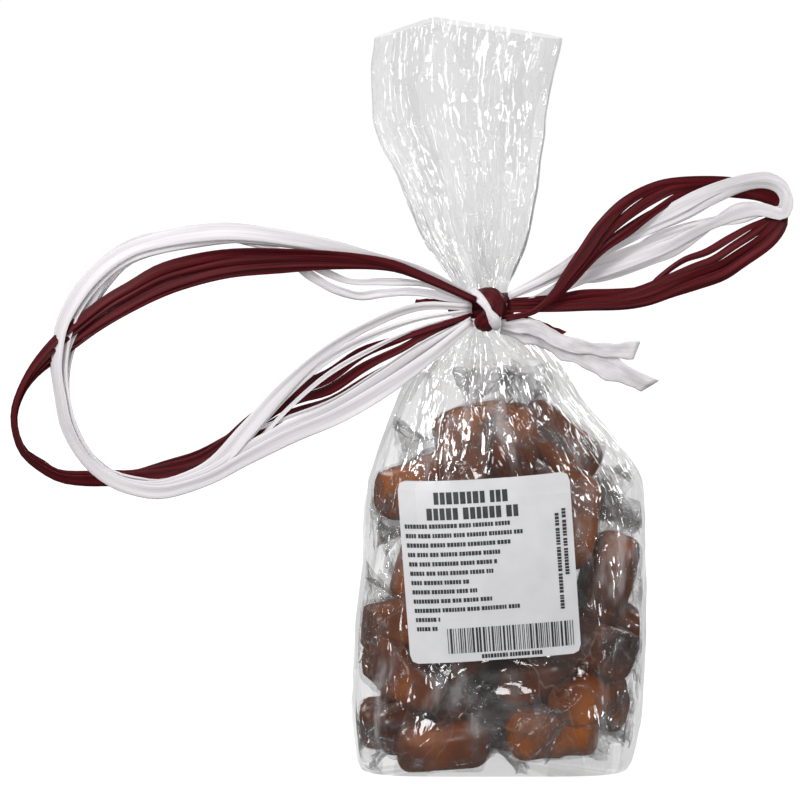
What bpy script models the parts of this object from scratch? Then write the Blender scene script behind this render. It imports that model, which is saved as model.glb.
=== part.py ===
"""Clear gift bag of wrapped caramels: flat base, gathered neck, open frill, label and raffia bow.

Metres, +Z up, the label faces -Y, and the origin is the middle of the base.
"""

import math

import bmesh
import bpy
from mathutils import Matrix, Vector

MM = 0.001
GAP = 0.35 * MM  # clear space between neighbouring pieces

# film bag: height, left edge, right edge, half depth, squareness of the section
BAG_STATIONS = (
    (0.0, -38.2, 37.5, 21.5, 5.0),
    (2.0, -39.0, 38.6, 22.8, 4.6),
    (14.0, -40.1, 41.2, 25.0, 3.6),
    (32.0, -39.7, 42.3, 26.0, 3.1),
    (56.0, -37.3, 42.1, 25.6, 2.8),
    (78.0, -35.7, 41.4, 23.4, 2.5),
    (88.0, -32.8, 35.9, 21.0, 2.3),
    (104.0, -26.8, 23.2, 15.2, 2.1),
    (118.0, -19.0, 13.6, 9.6, 2.0),
    (125.0, -12.6, 4.4, 6.6, 2.0),
    (129.5, -11.6, 3.0, 6.2, 2.0),
    (134.0, -11.8, 3.2, 6.2, 2.0),
    (148.0, -20.2, 8.6, 7.6, 2.0),
    (163.0, -26.4, 11.2, 8.8, 2.1),
    (182.0, -34.0, 13.6, 9.4, 2.2),
    (193.0, -34.7, 15.6, 9.6, 2.2),
    (203.0, -33.6, 17.6, 9.8, 2.3),
)
RING_STEP = 5.6  # mm between the rings of the film
RING_POINTS = 48
PLEATS = 12
PLEAT_DEPTH = 0.075  # share of the radius, where the film is gathered
TIE_Z = (125.0, 134.5)  # the tie presses the pleats flat here
CREST_X = -17.6  # the frill's edge rises to this point
CREST_RISE = 5.2

# label: a square sticker with rounded corners, following the film
LABEL_SIDE = 48.9
LABEL_HEIGHT = 49.7
LABEL_CENTRE = (-2.1, 59.6)  # x and z
LABEL_TURN = math.radians(4.1)
LABEL_CORNER = 2.2
LABEL_THICK = 0.3
LABEL_GRID = 10

# raffia
BAND_WHITE = (4.6, 2.0)  # width and thickness of a bundle, mm
BAND_RED = (5.0, 2.0)
WHITE_Y = -13.2
RED_Y = -10.9
TAIL_THICK = 0.8

# knot and the ring of raffia round the neck
KNOT_CENTRE = (-2.2, -11.6, 129.3)
KNOT_RADII = (3.8, 4.3, 5.5)
TIE_THICK = 1.6
TIE_HEIGHT = 4.0

COLOURS = {
    "film": (0.86, 0.86, 0.87),
    "paper": (0.86, 0.86, 0.87),
    "raffia_white": (0.84, 0.81, 0.84),
    "raffia_red": (0.085, 0.008, 0.014),
}
ROUGH = {"film": 0.12, "paper": 0.45, "raffia_white": 0.55, "raffia_red": 0.5}


def clearScene():
    for obj in list(bpy.data.objects):
        bpy.data.objects.remove(obj, do_unlink=True)


def material(name):
    mat = bpy.data.materials.new(name)
    mat.use_nodes = True
    shader = mat.node_tree.nodes["Principled BSDF"]
    shader.inputs["Base Color"].default_value = (*COLOURS[name], 1.0)
    shader.inputs["Roughness"].default_value = ROUGH[name]
    shader.inputs["Metallic"].default_value = 0.0
    return mat


def nodeFromBmesh(name, bm, mat):
    bmesh.ops.recalc_face_normals(bm, faces=bm.faces)
    mesh = bpy.data.meshes.new(name)
    bm.to_mesh(mesh)
    bm.free()
    obj = bpy.data.objects.new(name, mesh)
    bpy.context.scene.collection.objects.link(obj)
    obj.data.materials.append(mat)
    return obj


def smoothStep(value):
    value = min(max(value, 0.0), 1.0)
    return value * value * (3.0 - 2.0 * value)


def smoothRow(rows, z):
    """The stations' values at height z, on a smooth curve that keeps to the rows."""
    heights = [row[0] for row in rows]
    i = max(k for k in range(len(rows) - 1) if z >= heights[k] or k == 0)
    span = heights[i + 1] - heights[i]
    t = min(max((z - heights[i]) / span, 0.0), 1.0)

    def slope(k, column):
        if k == 0 or k == len(rows) - 1:
            return 0.0
        before = (rows[k][column] - rows[k - 1][column]) / (heights[k] - heights[k - 1])
        after = (rows[k + 1][column] - rows[k][column]) / (heights[k + 1] - heights[k])
        return 0.0 if before * after <= 0 else 2.0 * before * after / (before + after)

    values = []
    for column in range(1, len(rows[0])):
        a, b = rows[i][column], rows[i + 1][column]
        ta, tb = slope(i, column) * span, slope(i + 1, column) * span
        h = t * t * (3.0 - 2.0 * t)
        values.append(
            a * (1.0 - h) + b * h + ta * t * (1.0 - t) ** 2 - tb * t * t * (1.0 - t)
        )
    return values


def pleatDepth(z):
    """Pleats fade in from the shoulder to the neck and stay, softer, in the frill."""
    low, high = TIE_Z
    if low <= z <= high:
        return 0.0
    if z < low:
        return PLEAT_DEPTH * smoothStep((z - 92.0) / 22.0) * smoothStep((low - z) / 5.0)
    return PLEAT_DEPTH * smoothStep((z - high) / 8.0)


def bagPoint(angle, z):
    """A point of the film in mm, at this angle round the section and this height."""
    left, right, half, square = smoothRow(BAG_STATIONS, z)
    c, s = math.cos(angle), math.sin(angle)
    power = 2.0 / square
    fold = 1.0 + pleatDepth(z) * math.cos(PLEATS * angle + 0.02 * z)
    x = math.copysign(abs(c) ** power, c) * (right - left) / 2.0 * fold
    y = math.copysign(abs(s) ** power, s) * half * fold
    return Vector((x + (left + right) / 2.0, y, z))


def frillRise(x, z):
    """The frill's edge is cut in two slopes that meet at the crest."""
    share = smoothStep((z - 150.0) / 53.0)
    left, right, _, _ = smoothRow(BAG_STATIONS, 203.0)
    run = (x - left) / (CREST_X - left) if x < CREST_X else (right - x) / (right - CREST_X)
    return CREST_RISE * share * min(max(run, 0.0), 1.0)


def bagRing(bm, z):
    ring = bmesh.ops.create_circle(bm, segments=RING_POINTS, radius=1.0)["verts"]
    for i, vert in enumerate(ring):
        point = bagPoint(2.0 * math.pi * i / RING_POINTS, z)
        point.z += frillRise(point.x, z)
        vert.co = point * MM
    return ringEdges(ring)


def ringEdges(ring):
    members = set(ring)
    return [e for e in {e for v in ring for e in v.link_edges} if set(e.verts) <= members]


def makeBag(mat):
    bm = bmesh.new()
    top = BAG_STATIONS[-1][0]
    fixed = [row[0] for row in BAG_STATIONS[:3]]
    rest = round((top - fixed[-1]) / RING_STEP)
    heights = fixed + [fixed[-1] + (top - fixed[-1]) * (k + 1) / rest for k in range(rest)]
    rings = [bagRing(bm, z) for z in heights]
    for lower, upper in zip(rings, rings[1:]):
        bmesh.ops.bridge_loops(bm, edges=lower + upper)
    bmesh.ops.contextual_create(bm, geom=rings[0])
    bmesh.ops.contextual_create(bm, geom=rings[-1])
    bmesh.ops.triangulate(bm, faces=[f for f in bm.faces if len(f.verts) > 4])
    return nodeFromBmesh("bag", bm, mat)


def frontAngle(x, z):
    left, right, _, square = smoothRow(BAG_STATIONS, z)
    u = (x - (left + right) / 2.0) / ((right - left) / 2.0)
    c = math.copysign(abs(u) ** (square / 2.0), u)
    return -math.acos(min(max(c, -1.0), 1.0))


def onFront(x, z, lift):
    """The point this far out from the front of the film, along its normal."""
    here = bagPoint(frontAngle(x, z), z)
    along = bagPoint(frontAngle(x + 0.5, z), z) - bagPoint(frontAngle(x - 0.5, z), z)
    up = bagPoint(frontAngle(x, z + 0.5), z + 0.5) - bagPoint(frontAngle(x, z - 0.5), z - 0.5)
    return here + along.cross(up).normalized() * lift


def makeLabel(mat):
    bm = bmesh.new()
    n = LABEL_GRID
    bmesh.ops.create_grid(bm, x_segments=n, y_segments=n + 4, size=0.5)
    straight = LABEL_HEIGHT / 2.0 - LABEL_CORNER
    for vert in bm.verts:
        # rows crowd towards the rounded corners
        t = math.sin(vert.co.y * math.pi) * LABEL_HEIGHT / 2.0
        over = max(0.0, abs(t) - straight)
        half = LABEL_SIDE / 2.0 - LABEL_CORNER + math.sqrt(max(LABEL_CORNER**2 - over**2, 0.0))
        s = vert.co.x * 2.0 * half * 0.955  # the sides curve back round the bag
        x = LABEL_CENTRE[0] + s * math.cos(LABEL_TURN) - t * math.sin(LABEL_TURN)
        z = LABEL_CENTRE[1] + s * math.sin(LABEL_TURN) + t * math.cos(LABEL_TURN)
        vert.co = onFront(x, z, GAP / MM + LABEL_THICK) * MM
    bmesh.ops.recalc_face_normals(bm, faces=bm.faces)
    if sum(face.normal.y for face in bm.faces) > 0:
        bmesh.ops.reverse_faces(bm, faces=bm.faces)
    obj = nodeFromSheet("label", bm, mat)
    solid = obj.modifiers.new("thickness", "SOLIDIFY")
    solid.thickness = LABEL_THICK * MM
    solid.offset = -1.0
    return obj


def nodeFromSheet(name, bm, mat):
    mesh = bpy.data.meshes.new(name)
    bm.to_mesh(mesh)
    bm.free()
    obj = bpy.data.objects.new(name, mesh)
    bpy.context.scene.collection.objects.link(obj)
    obj.data.materials.append(mat)
    return obj


def smoothRoute(points, steps):
    """Points on a Catmull-Rom curve through the route, evenly spread by length."""
    ends = [2 * points[0] - points[1], *points, 2 * points[-1] - points[-2]]
    fine = []
    for a, b, c, d in zip(ends, ends[1:], ends[2:], ends[3:]):
        for k in range(12):
            t = k / 12.0
            fine.append(0.5 * (2 * b + (c - a) * t + (2 * a - 5 * b + 4 * c - d) * t**2
                               + (3 * b - a - 3 * c + d) * t**3))
    fine.append(points[-1])
    lengths = [0.0]
    for a, b in zip(fine, fine[1:]):
        lengths.append(lengths[-1] + (b - a).length)
    out, k = [], 0
    for i in range(steps + 1):
        want = lengths[-1] * i / steps
        while k < len(fine) - 2 and lengths[k + 1] < want:
            k += 1
        share = (want - lengths[k]) / (lengths[k + 1] - lengths[k])
        out.append(fine[k].lerp(fine[k + 1], min(share, 1.0)))
    return out


def makeBand(name, route, y, width, thick, mat, steps=60, sides=8, pinch=0.72):
    """A flat bundle along a route of x and z. It narrows to pinch where the knot grips it."""
    points = smoothRoute([Vector((x, y, z)) for x, z in route], steps)
    bm = bmesh.new()
    rings = []
    for i, point in enumerate(points):
        ahead = (points[min(i + 1, steps)] - points[max(i - 1, 0)]).normalized()
        across = ahead.cross(Vector((0.0, 1.0, 0.0))).normalized()
        near = min(i, steps - i) / steps if pinch < 1.0 else 0.5
        wide = width * (pinch + (1.0 - pinch) * smoothStep(near / 0.16))
        frame = Matrix((across * wide / 2.0, Vector((0, 1, 0)) * thick / 2.0, ahead)).transposed()
        place = Matrix.Translation(point * MM) @ (frame * MM).to_4x4()
        place[3][3] = 1.0
        ring = bmesh.ops.create_circle(bm, segments=sides, radius=1.0, matrix=place)["verts"]
        rings.append(ringEdges(ring))
    for first, second in zip(rings, rings[1:]):
        bmesh.ops.bridge_loops(bm, edges=first + second)
    bmesh.ops.contextual_create(bm, geom=rings[0])
    bmesh.ops.contextual_create(bm, geom=rings[-1])
    return nodeFromBmesh(name, bm, mat)


def makeLoops(white, red):
    leftWhite = ((-6.7, 131.8), (-27, 138.5), (-53, 146.5), (-73, 150), (-97, 146.5), (-114.5, 134),
                 (-120.5, 116), (-118.5, 99), (-110, 83.5), (-93, 78.2), (-75, 84.5), (-53, 98.5),
                 (-27, 113), (-6.7, 126.2))
    leftRed = ((-6.7, 131.8), (-25, 139), (-43, 142), (-64, 141.8), (-87, 136.5), (-109, 125.5),
               (-126.5, 111), (-131.6, 98), (-128, 87), (-113, 80.2), (-95, 80.2), (-75, 88),
               (-57, 100.5), (-40, 109), (-23, 118.5), (-6.7, 126.2))
    rightWhite = ((2.2, 132.4), (9, 134.5), (17, 139.5), (28, 146), (42, 152.5), (54, 159),
                  (66, 163.4), (75, 162.6), (78.2, 157), (76, 150.5), (67, 143.5), (53, 137),
                  (37, 131.5), (17, 128.8), (2.2, 128.2))
    rightRed = ((2.2, 132.4), (11, 136.5), (20, 146), (31, 156), (45, 162.2), (62, 162.8),
                (74, 159.5), (77.6, 153.2), (72, 146), (59, 138.2), (43, 132), (24, 128.6),
                (2.2, 128.2))
    makeBand("loop_left_white", leftWhite, WHITE_Y, *BAND_WHITE, white, steps=72)
    makeBand("loop_left_red", leftRed, RED_Y, *BAND_RED, red, steps=72)
    makeBand("loop_right_white", rightWhite, WHITE_Y, *BAND_WHITE, white, steps=48)
    makeBand("loop_right_red", rightRed, RED_Y, *BAND_RED, red, steps=48)


def makeTails(white, red):
    upper = ((2.6, 125.0), (10, 123.6), (18, 121.2), (28, 119.6), (38.4, 119.2))
    lower = ((2.6, 124.8), (12, 122.2), (21, 118.4), (31, 114.4), (42, 109.2))
    under = ((2.6, 124.6), (12, 121), (21, 116.8), (29.6, 111.6))
    stray = ((-6.7, 131.3), (-14, 131.4), (-22.8, 131.6))
    makeBand("tail_white_upper", upper, -14.2, 3.8, TAIL_THICK, white, 14, 8, pinch=0.8)
    makeBand("tail_white_lower", lower, -12.8, 4.6, TAIL_THICK, white, 14, 8, pinch=0.8)
    makeBand("tail_red", under, -11.4, 1.6, TAIL_THICK, red, 12, 8, pinch=1.0)
    makeBand("end_red", stray, -9.0, 1.4, TAIL_THICK, red, 6, 8, pinch=1.0)


def makeKnot(mat):
    """A ring of raffia round the neck, joined to the knot in front of it."""
    left, right, half, _ = smoothRow(BAG_STATIONS, 129.5)
    bm = bmesh.new()
    steps = 32
    rings = []
    for i in range(steps):
        angle = 2.0 * math.pi * i / steps
        out = Vector((math.cos(angle), math.sin(angle), 0.0))
        reach = GAP / MM + TIE_THICK / 2.0 + 0.55
        centre = Vector(((left + right) / 2.0 + ((right - left) / 2.0 + reach) * out.x,
                         (half + reach) * out.y, KNOT_CENTRE[2]))
        frame = Matrix((out * TIE_THICK / 2.0, Vector((0, 0, 1)) * TIE_HEIGHT / 2.0,
                        out.cross(Vector((0, 0, 1))))).transposed()
        place = Matrix.Translation(centre * MM) @ (frame * MM).to_4x4()
        place[3][3] = 1.0
        ring = bmesh.ops.create_circle(bm, segments=8, radius=1.0, matrix=place)["verts"]
        rings.append(ringEdges(ring))
    for first, second in zip(rings, rings[1:] + rings[:1]):
        bmesh.ops.bridge_loops(bm, edges=first + second)
    ring = nodeFromBmesh("knot", bm, mat)
    bm = bmesh.new()
    bmesh.ops.create_uvsphere(bm, u_segments=18, v_segments=10, radius=1.0)
    bmesh.ops.scale(bm, vec=Vector(KNOT_RADII) * MM, verts=bm.verts)
    bmesh.ops.translate(bm, vec=Vector(KNOT_CENTRE) * MM, verts=bm.verts)
    lump = nodeFromBmesh("knot_lump", bm, mat)
    lump.hide_render = True
    lump.display_type = "WIRE"
    join = ring.modifiers.new("lump", "BOOLEAN")
    join.operation = "UNION"
    join.object = lump
    return ring


clearScene()
film = material("film")
paper = material("paper")
raffiaWhite = material("raffia_white")
raffiaRed = material("raffia_red")
makeBag(film)
makeLabel(paper)
makeLoops(raffiaWhite, raffiaRed)
makeTails(raffiaWhite, raffiaRed)
makeKnot(raffiaRed)
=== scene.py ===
import math
import random

import bmesh
import bpy
from mathutils import Matrix, Vector, noise


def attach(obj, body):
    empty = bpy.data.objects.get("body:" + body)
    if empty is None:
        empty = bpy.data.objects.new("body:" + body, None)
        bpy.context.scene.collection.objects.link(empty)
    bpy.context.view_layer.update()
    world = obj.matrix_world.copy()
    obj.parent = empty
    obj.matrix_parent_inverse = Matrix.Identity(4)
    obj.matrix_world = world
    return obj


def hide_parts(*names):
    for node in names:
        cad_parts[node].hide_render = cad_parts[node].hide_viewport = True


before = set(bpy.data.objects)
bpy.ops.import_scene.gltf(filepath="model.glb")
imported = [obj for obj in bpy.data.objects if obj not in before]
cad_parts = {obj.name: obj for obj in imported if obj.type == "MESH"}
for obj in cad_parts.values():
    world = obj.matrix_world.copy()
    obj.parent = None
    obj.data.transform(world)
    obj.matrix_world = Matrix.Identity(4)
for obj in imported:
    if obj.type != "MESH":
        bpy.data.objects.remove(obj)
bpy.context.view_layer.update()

mm = 0.001
scene = bpy.context.scene
scene.view_settings.view_transform = "Standard"
scene.cycles.transparent_max_bounces = 32  # film lies behind film behind film
noise.seed_set(12)  # else noise_vector starts from the clock


def smoothStep(value):
    value = min(max(value, 0.0), 1.0)
    return value * value * (3.0 - 2.0 * value)


def mix(a, b, share):
    return a + (b - a) * share


def addGrid(bm, around, along, place, closed=False):
    # a grid whose every vertex is put at place(u, v), where u and v run from 0 to 1
    made = bmesh.ops.create_grid(bm, x_segments=around, y_segments=along, size=0.5,
                                 calc_uvs=True)["verts"]
    for vert in made:
        vert.co = place(vert.co.x + 0.5, vert.co.y + 0.5)
    if closed:
        bmesh.ops.remove_doubles(bm, verts=made, dist=1e-7)


def newGridMesh():
    bm = bmesh.new()
    bm.loops.layers.uv.new("UVMap")
    return bm


def finishPiece(name, bm, mats, replaced=(), smooth=True):
    mesh = bpy.data.meshes.new(name)
    bm.to_mesh(mesh)
    bm.free()
    mesh.polygons.foreach_set("use_smooth", [smooth] * len(mesh.polygons))
    for mat in mats:
        mesh.materials.append(mat)
    obj = bpy.data.objects.new(name, mesh)
    scene.collection.objects.link(obj)
    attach(obj, "root")
    if replaced:
        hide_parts(*replaced)
    return obj


class Nodes:
    # short calls for building a material's nodes
    def __init__(self, name):
        self.mat = bpy.data.materials.new(name)
        self.mat.use_nodes = True
        self.tree = self.mat.node_tree
        self.shader = self.tree.nodes["Principled BSDF"]
        self.coords = self.tree.nodes.new("ShaderNodeTexCoord")

    def new(self, kind, inputs=(), **settings):
        node = self.tree.nodes.new(kind)
        for key, value in settings.items():
            setattr(node, key, value)
        for key, value in dict(inputs).items():
            self.put(node.inputs[key], value)
        return node

    def put(self, socket, value):
        if isinstance(value, bpy.types.NodeSocket):
            self.tree.links.new(value, socket)
        else:
            socket.default_value = value

    def mapped(self, scale, turn=(0, 0, 0), source="Object"):
        return self.new("ShaderNodeMapping", {"Vector": self.coords.outputs[source], "Scale": scale,
                                              "Rotation": turn}).outputs["Vector"]

    def noise(self, vector, scale, detail=3.0, rough=0.5, distortion=0.0):
        return self.new("ShaderNodeTexNoise", {"Vector": vector, "Scale": scale, "Detail": detail,
                                               "Roughness": rough, "Distortion": distortion})

    def ramp(self, value, low, high, fromLow=0.0, fromHigh=1.0, smooth=True):
        node = self.new("ShaderNodeMapRange", {"Value": value, "From Min": fromLow, "From Max": fromHigh,
                                               "To Min": low, "To Max": high})
        node.interpolation_type = "SMOOTHSTEP" if smooth else "LINEAR"
        return node.outputs["Result"]

    def colours(self, value, stops):
        node = self.new("ShaderNodeValToRGB", {"Fac": value})
        ramp = node.color_ramp
        while len(ramp.elements) < len(stops):
            ramp.elements.new(0.5)
        for element, (place, colour) in zip(ramp.elements, stops):
            element.position = place
            element.color = (*colour, 1.0)
        return node.outputs["Color"]

    def maths(self, operation, a, b=0.0, clamp=False):
        node = self.new("ShaderNodeMath", operation=operation, use_clamp=clamp)
        self.put(node.inputs[0], a)
        self.put(node.inputs[1], b)
        return node.outputs[0]

    def bump(self, height, strength, distance, normal=None):
        node = self.new("ShaderNodeBump", {"Height": height, "Strength": strength, "Distance": distance})
        if normal is not None:
            self.put(node.inputs["Normal"], normal)
        return node.outputs["Normal"]


# the film's outline, as the model has it: height, left, right, half depth, squareness, in mm
bagShape = {
    "stations": (
        (0.0, -38.2, 37.5, 21.5, 5.0), (2.0, -39.0, 38.6, 22.8, 4.6), (14.0, -40.1, 41.2, 25.0, 3.6),
        (32.0, -39.7, 42.3, 26.0, 3.1), (56.0, -37.3, 42.1, 25.6, 2.8), (78.0, -35.7, 41.4, 23.4, 2.5),
        (88.0, -32.8, 35.9, 21.0, 2.3), (104.0, -26.8, 23.2, 15.2, 2.1), (118.0, -19.0, 13.6, 9.6, 2.0),
        (125.0, -12.6, 4.4, 6.6, 2.0), (129.5, -11.6, 3.0, 6.2, 2.0), (134.0, -11.8, 3.2, 6.2, 2.0),
        (148.0, -20.2, 8.6, 7.6, 2.0), (163.0, -26.4, 11.2, 8.8, 2.1), (182.0, -34.0, 13.6, 9.4, 2.2),
        (193.0, -34.7, 15.6, 9.6, 2.2), (203.0, -33.6, 17.6, 9.8, 2.3),
    ),
    "tie": (125.0, 134.5),  # the neck lies under the knot between these heights
    "crestX": -17.6,
    "crestRise": 5.2,  # how far the frill's edge rises from its corners to its crest
}
bagTop = bagShape["stations"][-1][0]


def bagRow(z):
    # left, right, half depth and squareness at this height, on the model's own smooth curve
    rows = bagShape["stations"]
    heights = [row[0] for row in rows]
    i = max(k for k in range(len(rows) - 1) if z >= heights[k] or k == 0)
    span = heights[i + 1] - heights[i]
    t = min(max((z - heights[i]) / span, 0.0), 1.0)

    def slope(k, column):
        if k == 0 or k == len(rows) - 1:
            return 0.0
        before = (rows[k][column] - rows[k - 1][column]) / (heights[k] - heights[k - 1])
        after = (rows[k + 1][column] - rows[k][column]) / (heights[k + 1] - heights[k])
        return 0.0 if before * after <= 0 else 2.0 * before * after / (before + after)

    values = []
    for column in range(1, 5):
        a, b = rows[i][column], rows[i + 1][column]
        ta, tb = slope(i, column) * span, slope(i + 1, column) * span
        h = t * t * (3.0 - 2.0 * t)
        values.append(a * (1.0 - h) + b * h + ta * t * (1.0 - t) ** 2 - tb * t * t * (1.0 - t))
    return values


rowCache = {}


def bagRowFast(z):
    key = round(z * 20)
    if key not in rowCache:
        rowCache[key] = bagRow(key / 20)
    return rowCache[key]


def onSection(angle, z):
    left, right, half, square = bagRowFast(z)
    c, s = math.cos(angle), math.sin(angle)
    power = 2.0 / square
    return Vector((math.copysign(abs(c) ** power, c) * (right - left) / 2.0 + (left + right) / 2.0,
                   math.copysign(abs(s) ** power, s) * half, z))


def frontAngle(x, z):
    left, right, _, square = bagRowFast(z)
    u = (x - (left + right) / 2.0) / ((right - left) / 2.0)
    c = math.copysign(abs(u) ** (square / 2.0), u)
    return -math.acos(min(max(c, -1.0), 1.0))


def onFront(x, z, lift):
    here = onSection(frontAngle(x, z), z)
    along = onSection(frontAngle(x + 0.5, z), z) - onSection(frontAngle(x - 0.5, z), z)
    up = onSection(frontAngle(x, z + 0.5), z + 0.5) - onSection(frontAngle(x, z - 0.5), z - 0.5)
    return here + along.cross(up).normalized() * lift


def keepInside(point, margin):
    # pulls a point of the contents back inside the film
    z = max(point.z, 0.5 + margin * 0.3)
    left, right, half, square = bagRowFast(z)
    middle = (left + right) / 2.0
    u = abs(point.x - middle) / ((right - left) / 2.0 - margin)
    v = abs(point.y) / (half - margin)
    reach = (u**square + v**square) ** (1.0 / square)
    if reach > 1.0:
        return Vector((middle + (point.x - middle) / reach, point.y / reach, z))
    return Vector((point.x, point.y, z))


labelSpec = {
    "centre": (-2.1, 59.6),
    "side": 48.9,
    "height": 49.7,
    "turn": math.radians(4.1),
    "front": 0.65,  # how far the paper's face is in front of the film
    "wrap": 0.955,
}


def labelPoint(s, t, lift):
    s *= labelSpec["wrap"]
    turn = labelSpec["turn"]
    x = labelSpec["centre"][0] + s * math.cos(turn) - t * math.sin(turn)
    z = labelSpec["centre"][1] + s * math.sin(turn) + t * math.cos(turn)
    return onFront(x, z, labelSpec["front"] + lift) * mm


def underLabel(point):
    # 1 where the label lies over the film, fading to 0 a little outside it
    if point.y > 0:
        return 0.0
    dx, dz = point.x - labelSpec["centre"][0], point.z - labelSpec["centre"][1]
    turn = labelSpec["turn"]
    s = abs(dx * math.cos(turn) + dz * math.sin(turn)) - labelSpec["side"] / 2.0
    t = abs(dz * math.cos(turn) - dx * math.sin(turn)) - labelSpec["height"] / 2.0
    return 1.0 - smoothStep((max(s, t) + 0.5) / 3.0)


filmLook = {
    "tint": (0.03, 0.029, 0.03),
    # the next colour is the painted highlight colour of the film's glint lines and sheen patches
    "glintWhite": (0.80, 0.79, 0.80),
    "bodyVeil": 0.22,
    "frillVeil": 0.16,
    "wrapVeil": 0.13,
    "body": (0.32, 0.22, 0.62),  # cover of the painted white, then the share of it that the painted glint lines along the creases and the painted sheen patches get
    "frill": (0.28, 0.9, 0.2),
    "wrap": (0.28, 0.3, 0.8),
    "bend": (0.7, 1.6),  # scale and strength of the noise that bends the panes' borders
    "smallPanes": 2.7,  # small panes to each large one
    "glintLineWidth": (0.03, 0.05),  # of the painted glint lines along the creases round large and small panes
    # size of the painted sheen patches, to the panes' size
    "sheenScale": 0.5,
    "edgeBump": (1.0, 0.0013),  # strength, and depth in metres
    "smallBump": (0.4, 0.0009),
    "neckRise": (0.078, 0.122),  # heights in metres where the gathers thicken, and fade again
    "neckFall": (0.134, 0.168),
    "twistFrom": (0.26, 0.36),  # how far from a wrapper's middle its twisted ends begin
    "frillFrom": 0.112,  # metres
    "roughness": 0.09,
    "ior": 4.0,  # thin film shines more than its share of cover would allow
}


def filmMaterial(name, veil, facets, paintedGlints, spread=(0.6, 1.5), neckVeil=1.0, endVeil=1.0):
    # facets is how many flat panes the film shows round and along the piece, and spread how they differ; the
    # tuple after facets gives the cover and shares of the painted highlights
    n = Nodes(name)
    where = n.mapped((*facets, 1.0), source="UV")
    bendScale, bendStrength = filmLook["bend"]
    bent = n.noise(where, bendScale, 3.0, 0.6)
    shift = n.new("ShaderNodeVectorMath", {0: bent.outputs["Color"]}, operation="SCALE")
    shift.inputs["Scale"].default_value = bendStrength
    push = n.new("ShaderNodeVectorMath", {0: where, 1: shift.outputs[0]}, operation="ADD").outputs[0]
    pane = n.new("ShaderNodeTexVoronoi", {"Vector": push, "Scale": 1.0}, voronoi_dimensions="2D")
    edge, small = (
        n.new("ShaderNodeTexVoronoi", {"Vector": push, "Scale": scale}, feature="DISTANCE_TO_EDGE",
              voronoi_dimensions="2D").outputs["Distance"]
        for scale in (1.0, filmLook["smallPanes"]))
    # painted highlights: fine white glint lines along some of the panes' creased borders
    mask = n.ramp(n.noise(where, 0.9, 2.0).outputs["Fac"], 0.0, 1.0, 0.48, 0.62)
    wideLine, thinLine = filmLook["glintLineWidth"]
    crease = n.maths("MULTIPLY", n.ramp(edge, 1.0, 0.0, 0.0, wideLine), mask)
    thin = n.maths("MULTIPLY", n.ramp(small, 0.6, 0.0, 0.0, thinLine), n.maths("SUBTRACT", 1.0, mask))
    # painted reflection: pale sheen patches scattered over the film
    glintCover, glintLineShare, sheenShare = paintedGlints
    patches = n.mapped((*(count * filmLook["sheenScale"] for count in facets), 1.0), source="UV")
    paintedSheen = n.ramp(n.noise(patches, 1.0, 4.0, 0.62).outputs["Fac"], 0.0, sheenShare, 0.53, 0.70)
    lines = n.maths("MULTIPLY", n.maths("MAXIMUM", crease, thin), glintLineShare)
    white = n.maths("MAXIMUM", lines, paintedSheen)
    tone = n.ramp(pane.outputs["Color"], *spread, 0.15, 0.85, smooth=False)
    cover = n.maths("MULTIPLY", tone, veil)
    if endVeil != 1.0:
        # the twisted ends are crumpled into many layers
        along = n.new("ShaderNodeSeparateXYZ", {0: n.coords.outputs["UV"]}).outputs["Y"]
        off = n.maths("ABSOLUTE", n.maths("SUBTRACT", along, 0.5))
        cover = n.maths("MULTIPLY", cover, n.ramp(off, 1.0, endVeil, *filmLook["twistFrom"]))
    if neckVeil != 1.0:
        # the gathers by the neck lie in many layers
        height = n.new("ShaderNodeSeparateXYZ", {0: n.coords.outputs["Object"]}).outputs["Z"]
        rise = n.ramp(height, 0.0, neckVeil - 1.0, *filmLook["neckRise"])
        fall = n.ramp(height, 1.0, 0.0, *filmLook["neckFall"])
        cover = n.maths("MULTIPLY", cover, n.maths("ADD", 1.0, n.maths("MULTIPLY", rise, fall)))
    # the painted highlights make the film whiter and more opaque where they lie; elsewhere it is a faint dark
    # veil
    n.put(n.shader.inputs["Alpha"],
          n.maths("ADD", cover, n.maths("MULTIPLY", white, glintCover), clamp=True))
    n.put(n.shader.inputs["Base Color"], n.colours(white, (
        (0.0, filmLook["tint"]), (0.6, filmLook["glintWhite"]))))
    n.shader.inputs["Roughness"].default_value = filmLook["roughness"]
    n.shader.inputs["IOR"].default_value = filmLook["ior"]
    normal = n.bump(edge, *filmLook["edgeBump"])
    n.put(n.shader.inputs["Normal"], n.bump(small, *filmLook["smallBump"], normal))
    return n.mat


crinkle = {
    # wavelength in mm, direction the creases cross, height in mm, bend
    "families": (
        (21.0, (0.93, 0.30, 0.22), 0.80, 1.1), (26.0, (0.75, -0.2, 0.63), 0.75, 1.3),
        (23.0, (0.70, 0.35, -0.62), 0.75, 1.2), (12.0, (0.98, 0.15, 0.06), 0.36, 0.9),
        (9.0, (0.55, 0.5, 0.67), 0.22, 1.4),
    ),
    "deepest": -0.45,  # film pressed against the sweets goes no further in
}


def crinkleAt(point):
    # sharp folds with flat film between them: triangle waves across bent directions
    total = 0.0
    for wave, across, height, bend in crinkle["families"]:
        along = point.dot(Vector(across)) / wave
        along += bend * noise.noise(point * 0.026 + Vector((wave, 0, 7)))
        saw = abs(along - math.floor(along) - 0.5) * 4.0 - 1.0
        mask = smoothStep(0.55 + 1.3 * noise.noise(point * 0.035 + Vector((3, wave, 1))))
        total += height * saw * mask
    return max(total, crinkle["deepest"])


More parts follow.
